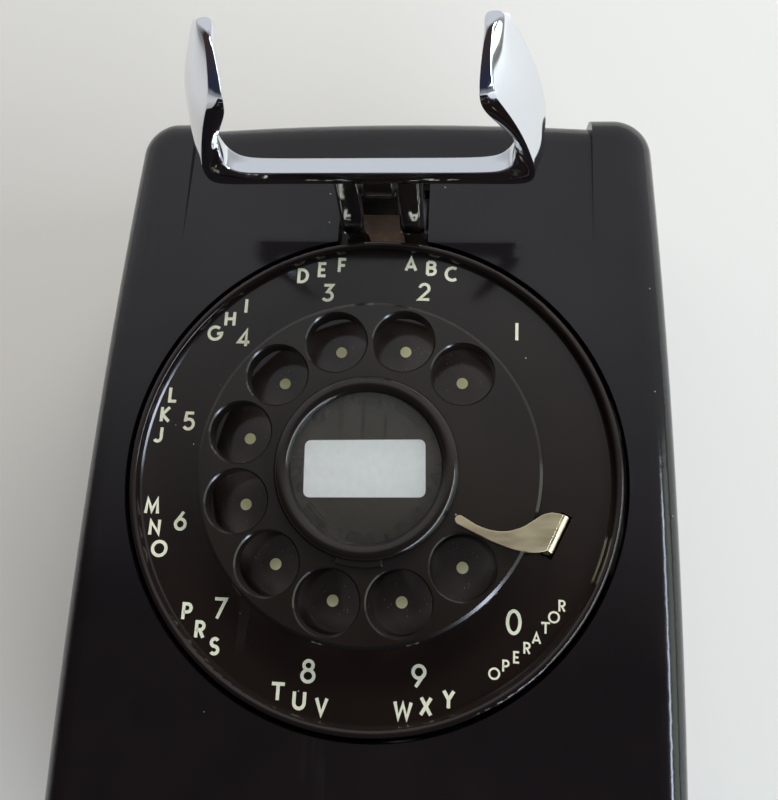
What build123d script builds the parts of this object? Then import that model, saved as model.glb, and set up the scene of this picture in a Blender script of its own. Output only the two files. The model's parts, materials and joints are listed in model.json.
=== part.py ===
from build123d import *
import math
import os

# A rotary-dial wall telephone, upright as it hangs on a wall.
# Millimetres. +Z up, +X to the right of someone facing it, -Y out of the wall.
# The origin is the centre of the wall screw pattern, on the back plane y = 0.

os.makedirs("parts", exist_ok=True)

# ---------------------------------------------------------------- driving dimensions
HEIGHT = 215.9              # housing, top to bottom
WALL = 3.0                  # housing wall
HALF_WIDTH_TOP = 67.9       # housing half widths on the wall plane
HALF_WIDTH_MIDDLE = 72.9
HALF_WIDTH_BOTTOM = 71.4
MIDDLE_Z = -17.5            # where the barrel sides are widest
SIDE_DRAFT = 3.5            # degrees
LOFT_DEPTH = 100.0
CORNER_RADIUS = 10.0
EDGE_RADIUS = 7.0
FACE_TILT = 6.0             # degrees the face looks up
FACE_RISE = 1.0             # face above the number plate
DIAL_BELOW_TOP = 90.5
DIAL_DEPTH = 65.0           # number plate to wall

BAND_HALF_WIDTH = 50.2      # lowered band at the top of the face, between two shoulders
BAND_START = 56.0           # height above the dial centre
BAND_CROWN = 1.7
BAND_TILT = 2.2             # degrees, extra lean of the band

PLATE_RADIUS = 56.1         # number plate and its rim bead
DIAL_HOLE_RADIUS = 57.3
WHEEL_RADIUS = 38.1
WHEEL_FRONT = 8.5
WHEEL_BACK = 3.8
HOLE_COUNT = 10
HOLE_PITCH = 30.0           # degrees
HOLE_FIRST = 46.6           # degrees, hole "1" counter-clockwise from +X
HOLE_CIRCLE = 29.4
HOLE_RADIUS = 6.9
CARD_RADIUS = 16.8
RING_RADIUS = 20.2
RING_WINDOW = 16.4
SHAFT_RADIUS = 4.0

GEAR_MODULE = 0.8
MAIN_TEETH = 72
PINION_TEETH = 12
GOVERNOR_ANGLE = 225.0      # degrees round the dial axis

PIVOT_UP = 66.0             # cradle pivot, up the face from the dial centre
PIVOT_OUT = -16.0           # and out of the number plate
PIVOT_RADIUS = 2.0
RUNNING = 0.05              # radial clearance of a running fit

BASE_HALF_WIDTH = 63.5
BASE_HALF_HEIGHT = 103.5
BASE_THICK = 1.6
BASE_RIM = 12.0
BOX_SCREW_SPACING = 83.3    # standard outlet-box screws, one above the other
BOX_SCREW_MIDDLE = 13.35
CORNER_SCREW_X = 108.0      # four-screw wall pattern
CORNER_SCREW_Z = 176.0

GONG_RADIUS = 21.0
GONG_X = 27.5
GONG_Z = -79.0
GONG_BACK = 27.0            # distance from the wall
GONG_DEPTH = 11.0

# ---------------------------------------------------------------- frames
TOP = HEIGHT / 2
DIAL_Z = TOP - DIAL_BELOW_TOP
tilt = math.radians(FACE_TILT)
face_normal = Vector(0, -math.cos(tilt), math.sin(tilt))
face_up = Vector(0, math.sin(tilt), math.cos(tilt))
dial_centre = Vector(0, -DIAL_DEPTH, DIAL_Z)

FACE = Plane(origin=dial_centre, x_dir=(1, 0, 0), z_dir=face_normal)     # right, up
SIDE = Plane(origin=dial_centre, x_dir=face_normal, z_dir=(-1, 0, 0))    # out, up
PLAN = Plane(origin=dial_centre, x_dir=(1, 0, 0), z_dir=face_up * -1)    # right, out
BACK = Plane.XZ                                                          # right, up; grows out
CROSS = Plane(origin=(0, 0, 0), x_dir=(0, -1, 0), z_dir=(-1, 0, 0))      # out, up
DIAL_AXIS = Axis(dial_centre, face_normal)


def on_face(right, up, out):
    """A point given by its place on the dial face, in the part's own frame."""
    return dial_centre + Vector(1, 0, 0) * right + face_up * up + face_normal * out


def polar(radius, degrees):
    """Right and up of a point on a circle."""
    angle = math.radians(degrees)
    return (radius * math.cos(angle), radius * math.sin(angle))


def finish(part, name):
    """Label one sub-part and write its STEP file."""
    part.label = name
    export_step(part, f"parts/{name}.step")


def slotted_screws(plane, points, head_radius, head_height, shank_radius, shank_length):
    """Slotted cheese-head screws whose heads stand on a plane."""
    with BuildPart() as screws:
        with BuildSketch(plane):
            with Locations(*points):
                Circle(head_radius)
        extrude(amount=head_height)
        with BuildSketch(plane):
            with Locations(*points):
                Circle(shank_radius)
        extrude(amount=-shank_length)
        with BuildSketch(plane.offset(head_height)):
            with Locations(*points):
                Rectangle(2.2 * head_radius, 0.28 * head_radius)
        extrude(amount=-0.4 * head_height, mode=Mode.SUBTRACT)
    return screws.part


def gear(plane, teeth, bore, thickness, turn):
    """A spur gear with straight-flanked teeth and running backlash."""
    pitch = GEAR_MODULE * teeth / 2
    root = pitch - 1.15 * GEAR_MODULE
    tip = pitch + 0.75 * GEAR_MODULE
    with BuildPart() as blank:
        with BuildSketch(plane):
            Circle(root)
            for tooth in range(teeth):
                with Locations(Location((0, 0, 0), (0, 0, turn + tooth * 360 / teeth))):
                    Polygon(
                        (root - 0.5, -0.75 * GEAR_MODULE),
                        (tip, -0.3 * GEAR_MODULE),
                        (tip, 0.3 * GEAR_MODULE),
                        (root - 0.5, 0.75 * GEAR_MODULE),
                        align=None,
                    )
            Circle(bore, mode=Mode.SUBTRACT)
        extrude(amount=thickness)
    return blank.part


# ---------------------------------------------------------------- housing
def housing_block(inset, crown, lowered, front):
    """Solid envelope of the housing: a drafted barrel cut by the sloping face."""
    with BuildPart() as block:
        for depth in (0.0, LOFT_DEPTH):
            shrink = inset + depth * math.tan(math.radians(SIDE_DRAFT))
            top = TOP - inset - lowered
            bottom = -TOP + inset
            with BuildSketch(BACK.offset(depth)) as outline:
                with BuildLine():
                    upper_right = (HALF_WIDTH_TOP - shrink, top - crown)
                    lower_right = (HALF_WIDTH_BOTTOM - shrink, bottom)
                    lower_left = (-HALF_WIDTH_BOTTOM + shrink, bottom)
                    upper_left = (-HALF_WIDTH_TOP + shrink, top - crown)
                    widest = HALF_WIDTH_MIDDLE - shrink
                    ThreePointArc(upper_right, (widest, MIDDLE_Z), lower_right)
                    Line(lower_right, lower_left)
                    ThreePointArc(lower_left, (-widest, MIDDLE_Z), upper_left)
                    if crown:
                        ThreePointArc(upper_left, (0, top), upper_right)
                    else:
                        Line(upper_left, upper_right)
                make_face()
                fillet(outline.vertices(), CORNER_RADIUS - inset)
        loft(ruled=True)
        split(bisect_by=front, keep=Keep.BOTTOM)
        face_edges = block.faces().sort_by(DIAL_AXIS)[-1].edges()
        fillet(face_edges, EDGE_RADIUS - inset)
    return block.part


face_front = FACE.offset(FACE_RISE)
inner_front = FACE.offset(FACE_RISE - WALL)
band_front = Plane(
    origin=on_face(0, BAND_START, FACE_RISE),
    x_dir=(1, 0, 0),
    z_dir=face_normal.rotate(Axis.X, -BAND_TILT),
)
SLAB_TOP = 110.0            # up the face, past the top of the housing
SLAB_BACK = -80.0
SLAB_DEEP = 90.0

envelope = housing_block(0.0, 0.0, 0.0, face_front)
hollow = housing_block(WALL, 0.0, 0.0, inner_front)
lowered_envelope = housing_block(0.0, BAND_CROWN * 1.7, 0.0, band_front)

with BuildPart() as band:
    add(lowered_envelope)
    with BuildSketch(FACE.offset(SLAB_BACK)):
        with Locations((0, (BAND_START + SLAB_TOP) / 2)):
            Rectangle(2 * BAND_HALF_WIDTH, SLAB_TOP - BAND_START)
    extrude(amount=SLAB_DEEP, mode=Mode.INTERSECT)

SLOT_HALF_WIDTH = 11.0
SLOT_TOP = 75.0
GROMMET_X = -45.0
GROMMET_Y = 15.0            # out from the wall
GROMMET_NECK = 5.0
GROMMET_BORE = 3.2
GROMMET_FLANGE = 7.2
THUMB_X = 24.0
THUMB_OUT = 56.0
THUMB_Z = -98.5
THUMB_RADIUS = 12.5
THUMB_WIDTH = 5.0
HOUSING_SCREW_OUT = 7.5

with BuildPart() as housing:
    add(envelope)
    with BuildSketch(FACE.offset(SLAB_BACK)):
        with Locations((0, (BAND_START + SLAB_TOP) / 2)):
            Rectangle(2 * BAND_HALF_WIDTH, SLAB_TOP - BAND_START)
    extrude(amount=SLAB_DEEP, mode=Mode.SUBTRACT)
    add(band.part)
    add(hollow, mode=Mode.SUBTRACT)
    # dial opening with its cradle slot above
    with BuildSketch(FACE.offset(-12)):
        Circle(DIAL_HOLE_RADIUS)
        with Locations((0, (SLOT_TOP + 40) / 2)):
            Rectangle(2 * SLOT_HALF_WIDTH, SLOT_TOP - 40)
    extrude(amount=20, mode=Mode.SUBTRACT)
    # notch for the cord grommet, thumbwheel slot and screw hole in the bottom wall
    with BuildSketch(Plane.XY.offset(-TOP - 1)):
        with Locations((GROMMET_X, -GROMMET_Y / 2)):
            Rectangle(2 * GROMMET_NECK, GROMMET_Y + 2 * GROMMET_NECK)
        with Locations((THUMB_X, -THUMB_OUT)):
            Rectangle(THUMB_WIDTH + 2.4, 2 * THUMB_RADIUS - 1)
        with Locations((0, -HOUSING_SCREW_OUT)):
            Circle(2.2)
    extrude(amount=WALL + 2, mode=Mode.SUBTRACT)
finish(housing.part, "housing")

# ---------------------------------------------------------------- base plate
CABLE_HOLE = (-34.0, 60.0)
CABLE_HOLE_RADIUS = 9.0
with BuildPart() as base_plate:
    with BuildSketch(BACK):
        RectangleRounded(2 * BASE_HALF_WIDTH, 2 * BASE_HALF_HEIGHT, 9)
    extrude(amount=BASE_RIM)
    with BuildSketch(BACK.offset(BASE_THICK)):
        RectangleRounded(
            2 * (BASE_HALF_WIDTH - BASE_THICK), 2 * (BASE_HALF_HEIGHT - BASE_THICK), 7.4
        )
    extrude(amount=BASE_RIM, mode=Mode.SUBTRACT)
    # the rim is cut away at the corners
    with BuildSketch(BACK.offset(4.0)):
        with GridLocations(2 * BASE_HALF_WIDTH, 2 * BASE_HALF_HEIGHT, 2, 2):
            Rectangle(58, 44)
    extrude(amount=BASE_RIM, mode=Mode.SUBTRACT)
    with BuildSketch(BACK):
        for end in (-0.5, 0.5):
            with Locations((0, BOX_SCREW_MIDDLE + end * BOX_SCREW_SPACING)):
                Circle(2.6)
        with GridLocations(CORNER_SCREW_X, CORNER_SCREW_Z, 2, 2):
            Circle(2.6)
        with Locations(CABLE_HOLE):
            Circle(CABLE_HOLE_RADIUS)
    extrude(amount=BASE_THICK, mode=Mode.SUBTRACT)
    # screw hole in the bottom rim
    with BuildSketch(Plane.XY.offset(-BASE_HALF_HEIGHT)):
        with Locations((0, -HOUSING_SCREW_OUT)):
            Circle(1.9)
    extrude(amount=BASE_THICK, mode=Mode.SUBTRACT)
finish(base_plate.part, "base_plate")

under_bottom = Plane(origin=(0, -HOUSING_SCREW_OUT, -TOP), x_dir=(1, 0, 0), z_dir=(0, 0, -1))
housing_screw = slotted_screws(under_bottom, [(0, 0)], 3.6, 1.8, 1.9, 11)
finish(housing_screw, "housing_screw")

with BuildPart() as cord_grommet:
    with BuildSketch(Plane(origin=(GROMMET_X, -GROMMET_Y, -TOP), x_dir=(1, 0, 0), z_dir=(0, -1, 0))):
        with BuildLine():
            Polyline(
                (GROMMET_BORE, -2.4),
                (GROMMET_FLANGE - 1.2, -2.4),
                (GROMMET_FLANGE, -1.2),
                (GROMMET_FLANGE, 0),
                (GROMMET_NECK, 0),
                (GROMMET_NECK, WALL),
                (GROMMET_FLANGE, WALL),
                (GROMMET_FLANGE - 0.6, WALL + 2),
                (GROMMET_BORE, WALL + 2),
                close=True,
            )
        make_face()
    revolve(axis=Axis((GROMMET_X, -GROMMET_Y, -TOP), (0, 0, 1)))
finish(cord_grommet.part, "cord_grommet")

# ---------------------------------------------------------------- number plate
STOP_SLOT = (41.6, -12.4)
with BuildPart() as number_plate:
    with BuildSketch(SIDE):
        with BuildLine():
            Polyline(
                (0, 12),
                (0, PLATE_RADIUS - 2.6),
                (0.35, PLATE_RADIUS - 2.2),
                (1.2, PLATE_RADIUS - 1.9),
            )
            ThreePointArc(
                (1.2, PLATE_RADIUS - 1.9), (1.9, PLATE_RADIUS - 1.0), (1.2, PLATE_RADIUS)
            )
            Polyline(
                (1.2, PLATE_RADIUS),
                (-5.0, PLATE_RADIUS),
                (-5.0, PLATE_RADIUS - 2.2),
                (-2.4, PLATE_RADIUS - 2.6),
                (-2.4, 12),
                (0, 12),
            )
        make_face()
    revolve(axis=DIAL_AXIS)
    with BuildSketch(FACE.offset(-4)):
        with Locations(Location((*STOP_SLOT, 0), (0, 0, -26))):
            Rectangle(2.6, 10.4)
    extrude(amount=6, mode=Mode.SUBTRACT)
finish(number_plate.part, "number_plate")

DOT_RADIUS = 1.3
hole_angles = [HOLE_FIRST + HOLE_PITCH * place for place in range(HOLE_COUNT)]
hole_centres = [polar(HOLE_CIRCLE, angle) for angle in hole_angles]
with BuildPart() as aiming_dots:
    with BuildSketch(FACE):
        with Locations(*hole_centres):
            Circle(DOT_RADIUS)
    extrude(amount=0.12)
finish(aiming_dots.part, "aiming_dots")

# ---------------------------------------------------------------- finger stop
STOP_BOTTOM = 9.8
STOP_THICK = 1.1
STOP_FOOT = -9.1            # underside of the foot
STOP_BEND = (41.35, -12.55)
STOP_TURN = -24.7           # degrees, the bend line from upright
STOP_SCREW = (37.0, -10.6)
with BuildPart() as finger_stop:
    with BuildSketch(FACE.offset(STOP_BOTTOM)) as blade:
        with BuildLine():
            Spline(
                (20.4, -9.7), (24.6, -11.6), (30.0, -12.0), (34.0, -10.8), (37.2, -8.5), (39.2, -8.0)
            )
            Line((39.2, -8.0), (43.2, -9.0))
            Line((43.2, -9.0), (39.8, -16.4))
            Spline((39.8, -16.4), (34.0, -16.1), (28.6, -15.0), (24.0, -13.2), (20.0, -11.5))
            ThreePointArc((20.0, -11.5), (19.5, -10.5), (20.4, -9.7))
        make_face()
    extrude(amount=STOP_THICK)
    # upright behind the bend, and a foot under the dial frame
    with BuildSketch(FACE.offset(STOP_FOOT)):
        with Locations(Location((*STOP_BEND, 0), (0, 0, STOP_TURN))):
            Rectangle(STOP_THICK, 8.2)
    extrude(amount=STOP_BOTTOM - STOP_FOOT + 0.3)
    with BuildSketch(FACE.offset(STOP_FOOT)):
        with Locations(Location((*STOP_BEND, 0), (0, 0, STOP_TURN))):
            with Locations((-4.0, 0)):
                Rectangle(8.0, 7.0)
        with Locations(STOP_SCREW):
            Circle(1.2, mode=Mode.SUBTRACT)
    extrude(amount=STOP_THICK)
finish(finger_stop.part, "finger_stop")

stop_screw = slotted_screws(FACE.offset(-6.4), [STOP_SCREW], 2.2, 1.2, 1.2, 3.4)
finish(stop_screw, "stop_screw")

# ---------------------------------------------------------------- finger wheel and its centre
with BuildPart() as finger_wheel:
    with BuildSketch(SIDE):
        with BuildLine():
            Polyline((WHEEL_BACK + 1.6, 0), (6.0, 0), (6.0, 14.0), (WHEEL_FRONT, 14.0))
            Polyline(
                (WHEEL_FRONT, 14.0),
                (WHEEL_FRONT, WHEEL_RADIUS - 1.0),
                (WHEEL_FRONT - 0.45, WHEEL_RADIUS - 0.3),
                (WHEEL_FRONT - 1.2, WHEEL_RADIUS),
                (WHEEL_BACK, WHEEL_RADIUS),
                (WHEEL_BACK, WHEEL_RADIUS - 2.0),
                (WHEEL_BACK + 0.6, WHEEL_RADIUS - 2.4),
                (WHEEL_BACK + 0.6, 14.0),
                (WHEEL_BACK, 12.0),
                (WHEEL_BACK, 0),
                (WHEEL_BACK + 1.6, 0),
            )
        make_face()
    revolve(axis=DIAL_AXIS)
    with BuildSketch(FACE):
        with Locations(*hole_centres):
            Circle(HOLE_RADIUS)
        Circle(2.0)
    extrude(amount=20, mode=Mode.SUBTRACT)
    hole_rims = (
        finger_wheel.edges()
        .filter_by(GeomType.CIRCLE)
        .filter_by(lambda edge: abs(edge.radius - HOLE_RADIUS) < 0.01)
        .group_by(DIAL_AXIS)[-1]
    )
    chamfer(hole_rims, 0.35)
finish(finger_wheel.part, "finger_wheel")

with BuildPart() as number_card:
    with BuildSketch(FACE.offset(WHEEL_FRONT)):
        Circle(CARD_RADIUS)
    extrude(amount=0.3)
finish(number_card.part, "number_card")

COVER_BACK = WHEEL_FRONT + 0.3
with BuildPart() as card_cover:
    with BuildSketch(FACE.offset(COVER_BACK)):
        Circle(CARD_RADIUS)
    extrude(amount=0.9)
    chamfer(card_cover.edges().group_by(DIAL_AXIS)[-1], 0.2)
finish(card_cover.part, "card_cover")

with BuildPart() as retaining_ring:
    with BuildSketch(SIDE):
        with BuildLine():
            Polyline(
                (COVER_BACK + 0.9, RING_WINDOW),
                (COVER_BACK + 0.9, CARD_RADIUS + 0.1),
                (WHEEL_FRONT, CARD_RADIUS + 0.1),
                (WHEEL_FRONT, RING_RADIUS),
                (WHEEL_FRONT + 0.7, RING_RADIUS),
            )
            ThreePointArc(
                (WHEEL_FRONT + 0.7, RING_RADIUS),
                (WHEEL_FRONT + 2.6, (RING_RADIUS + RING_WINDOW) / 2),
                (COVER_BACK + 0.9, RING_WINDOW),
            )
        make_face()
    revolve(axis=DIAL_AXIS)
finish(retaining_ring.part, "retaining_ring")

hub_screw = slotted_screws(FACE.offset(6.0), [(0, 0)], 4.2, 1.8, 2.0, 7)
finish(hub_screw, "hub_screw")

# ---------------------------------------------------------------- dial shaft and gears
SHAFT_BACK = -31.0
PLATE_BACK = -8.0           # dial frame plate, back and front
PLATE_FRONT = -6.4
GEAR_BACK = -12.5
GEAR_THICK = 2.0
BRIDGE_BACK = -30.5
BRIDGE_FRONT = -29.0
BEARING_RADIUS = 6.5
with BuildPart() as dial_shaft:
    with BuildSketch(FACE.offset(SHAFT_BACK)):
        Circle(SHAFT_RADIUS)
    extrude(amount=WHEEL_BACK - SHAFT_BACK)
    with BuildSketch(FACE.offset(WHEEL_BACK)):
        Circle(2.0)
    extrude(amount=-7, mode=Mode.SUBTRACT)
finish(dial_shaft.part, "dial_shaft")

main_blank = gear(FACE.offset(GEAR_BACK), MAIN_TEETH, SHAFT_RADIUS, GEAR_THICK, GOVERNOR_ANGLE)
with BuildPart() as main_gear:
    add(main_blank)
    with BuildSketch(FACE.offset(GEAR_BACK)):
        with PolarLocations(16, 5):
            Circle(5)
    extrude(amount=GEAR_THICK, mode=Mode.SUBTRACT)
finish(main_gear.part, "main_gear")

CAM_BACK = -16.5
with BuildPart() as pulse_cam:
    with BuildSketch(FACE.offset(CAM_BACK)):
        Circle(10)
        for lobe in range(HOLE_COUNT):
            with Locations(polar(10.4, 60 + lobe * 24)):
                Circle(1.1)
        Circle(SHAFT_RADIUS, mode=Mode.SUBTRACT)
    extrude(amount=2.5)
finish(pulse_cam.part, "pulse_cam")

with BuildPart() as dial_bearing:
    with BuildSketch(FACE.offset(PLATE_BACK - 1.5)):
        Circle(BEARING_RADIUS)
    extrude(amount=7)
    with BuildSketch(FACE.offset(PLATE_FRONT)):
        Circle(BEARING_RADIUS + 2)
    extrude(amount=1.6)
    with BuildSketch(FACE.offset(PLATE_BACK - 1.5)):
        Circle(SHAFT_RADIUS + RUNNING)
    extrude(amount=7, mode=Mode.SUBTRACT)
finish(dial_bearing.part, "dial_bearing")

# ---------------------------------------------------------------- dial frame
EAR_REACH = 54.5
EAR_SCREW = 50.8
PILLAR_CIRCLE = 35.5
PILLAR_ANGLES = (3, 130, 290)
PLATE_PILLARS = (80, 170, 260)
governor_place = polar(GEAR_MODULE * (MAIN_TEETH + PINION_TEETH) / 2 + 0.12, GOVERNOR_ANGLE)
with BuildPart() as dial_frame:
    with BuildSketch(FACE.offset(PLATE_BACK)):
        Circle(41)
        Rectangle(2 * EAR_REACH, 16)
        Circle(BEARING_RADIUS, mode=Mode.SUBTRACT)
        with Locations((-EAR_SCREW, 0), (EAR_SCREW, 0)):
            Circle(1.4, mode=Mode.SUBTRACT)
        with Locations(STOP_SCREW):
            Circle(1.2, mode=Mode.SUBTRACT)
        with Locations(governor_place):
            Circle(1.2 + RUNNING, mode=Mode.SUBTRACT)
    extrude(amount=PLATE_FRONT - PLATE_BACK)
finish(dial_frame.part, "dial_frame")

with BuildPart() as plate_pillars:
    with BuildSketch(FACE.offset(PLATE_FRONT)):
        for angle in PLATE_PILLARS:
            with Locations(polar(PILLAR_CIRCLE, angle)):
                Circle(3)
    extrude(amount=-2.4 - PLATE_FRONT)
finish(plate_pillars.part, "plate_pillars")

with BuildPart() as rear_pillars:
    with BuildSketch(FACE.offset(BRIDGE_FRONT)):
        for angle in PILLAR_ANGLES:
            with Locations(polar(PILLAR_CIRCLE, angle)):
                Circle(2.4)
    extrude(amount=PLATE_BACK - BRIDGE_FRONT)
finish(rear_pillars.part, "rear_pillars")

with BuildPart() as rear_bridge:
    with BuildSketch(FACE.offset(BRIDGE_BACK)):
        for angle in (*PILLAR_ANGLES, GOVERNOR_ANGLE):
            with Locations(Location((0, 0, 0), (0, 0, angle))):
                with Locations((PILLAR_CIRCLE / 2, 0)):
                    SlotCenterToCenter(PILLAR_CIRCLE, 9)
        Circle(9)
        Circle(SHAFT_RADIUS + RUNNING, mode=Mode.SUBTRACT)
        with Locations(governor_place):
            Circle(1.2 + RUNNING, mode=Mode.SUBTRACT)
    extrude(amount=BRIDGE_FRONT - BRIDGE_BACK)
finish(rear_bridge.part, "rear_bridge")

with BuildPart() as mainspring:
    with BuildLine() as coil:
        Helix(pitch=2.2, height=10.0, radius=6.6, center=on_face(0, 0, -28.0), direction=face_normal)
    with BuildSketch(Plane(origin=coil.wires()[0] @ 0, z_dir=coil.wires()[0] % 0)):
        Circle(0.8)
    sweep(path=coil.wires()[0], is_frenet=True)
finish(mainspring.part, "mainspring")

# ---------------------------------------------------------------- governor
GOVERNOR_SHAFT = 1.2
with BuildPart() as governor_shaft:
    with BuildSketch(FACE.offset(BRIDGE_BACK)):
        with Locations(governor_place):
            Circle(GOVERNOR_SHAFT)
    extrude(amount=PLATE_FRONT - BRIDGE_BACK)
finish(governor_shaft.part, "governor_shaft")

GOVERNOR_PLANE = Plane(
    origin=on_face(*governor_place, 0), x_dir=(1, 0, 0), z_dir=face_normal
)
half_tooth = 180 / PINION_TEETH
governor_pinion = gear(
    GOVERNOR_PLANE.offset(GEAR_BACK),
    PINION_TEETH,
    GOVERNOR_SHAFT,
    GEAR_THICK,
    GOVERNOR_ANGLE + 180 + half_tooth,
)
finish(governor_pinion, "governor_pinion")

with BuildPart() as governor_weights:
    with BuildSketch(GOVERNOR_PLANE.offset(-24)):
        Rectangle(12.6, 2.4)
        with Locations((5.6, 1.4), (-5.6, -1.4)):
            Rectangle(2.4, 5.4)
        Circle(2.6)
        Circle(GOVERNOR_SHAFT, mode=Mode.SUBTRACT)
    extrude(amount=3.5)
finish(governor_weights.part, "governor_weights")

with BuildPart() as governor_cup:
    with BuildSketch(GOVERNOR_PLANE.offset(BRIDGE_FRONT)):
        Circle(9.6)
        Circle(GOVERNOR_SHAFT + 0.6, mode=Mode.SUBTRACT)
    extrude(amount=10)
    with BuildSketch(GOVERNOR_PLANE.offset(BRIDGE_FRONT + 1.2)):
        Circle(8.6)
    extrude(amount=10, mode=Mode.SUBTRACT)
finish(governor_cup.part, "governor_cup")

# ---------------------------------------------------------------- pulse contacts
with BuildPart() as pulse_springs:
    with BuildSketch(FACE.offset(CAM_BACK - 0.5)):
        with Locations((20, 14.6), (20, 17.2), (20, 19.8)):
            Rectangle(30, 0.4)
    extrude(amount=3.6)
finish(pulse_springs.part, "pulse_springs")

with BuildPart() as pulse_block:
    with BuildSketch(FACE.offset(CAM_BACK - 1.5)):
        with Locations((30, 17.2)):
            Rectangle(9, 9)
        with Locations((30, 14.6), (30, 17.2), (30, 19.8)):
            Rectangle(10, 0.4, mode=Mode.SUBTRACT)
    extrude(amount=4.6)
finish(pulse_block.part, "pulse_block")

# ---------------------------------------------------------------- dial brackets
BRACKET_X = 47.0
BRACKET_HALF = 9.0
BRACKET_SHEET = 1.6
BRACKET_FOOT = 12.0
for side, label in ((-1, "dial_bracket_left"), (1, "dial_bracket_right")):
    with BuildPart() as dial_bracket:
        with BuildSketch(BACK.offset(BASE_THICK)):
            with Locations((side * (BRACKET_X + BRACKET_SHEET / 2), DIAL_Z)):
                Rectangle(BRACKET_SHEET, 2 * BRACKET_HALF)
        extrude(amount=70)
        split(bisect_by=FACE.offset(PLATE_BACK), keep=Keep.BOTTOM)
        with BuildSketch(BACK.offset(BASE_THICK)):
            with Locations((side * (BRACKET_X + BRACKET_FOOT / 2), DIAL_Z)):
                Rectangle(BRACKET_FOOT, 2 * BRACKET_HALF)
        extrude(amount=BRACKET_SHEET)
        with BuildSketch(FACE.offset(PLATE_BACK - BRACKET_SHEET)):
            with Locations((side * (BRACKET_X + 3.6), 0)):
                Rectangle(7.2, 2 * BRACKET_HALF)
            with Locations((side * EAR_SCREW, 0)):
                Circle(1.4, mode=Mode.SUBTRACT)
        extrude(amount=BRACKET_SHEET)
    finish(dial_bracket.part, label)

ear_points = [(-EAR_SCREW, 0), (EAR_SCREW, 0)]
dial_screws = slotted_screws(FACE.offset(PLATE_FRONT), ear_points, 2.0, 1.4, 1.3, 5)
finish(dial_screws, "dial_screws")

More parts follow.
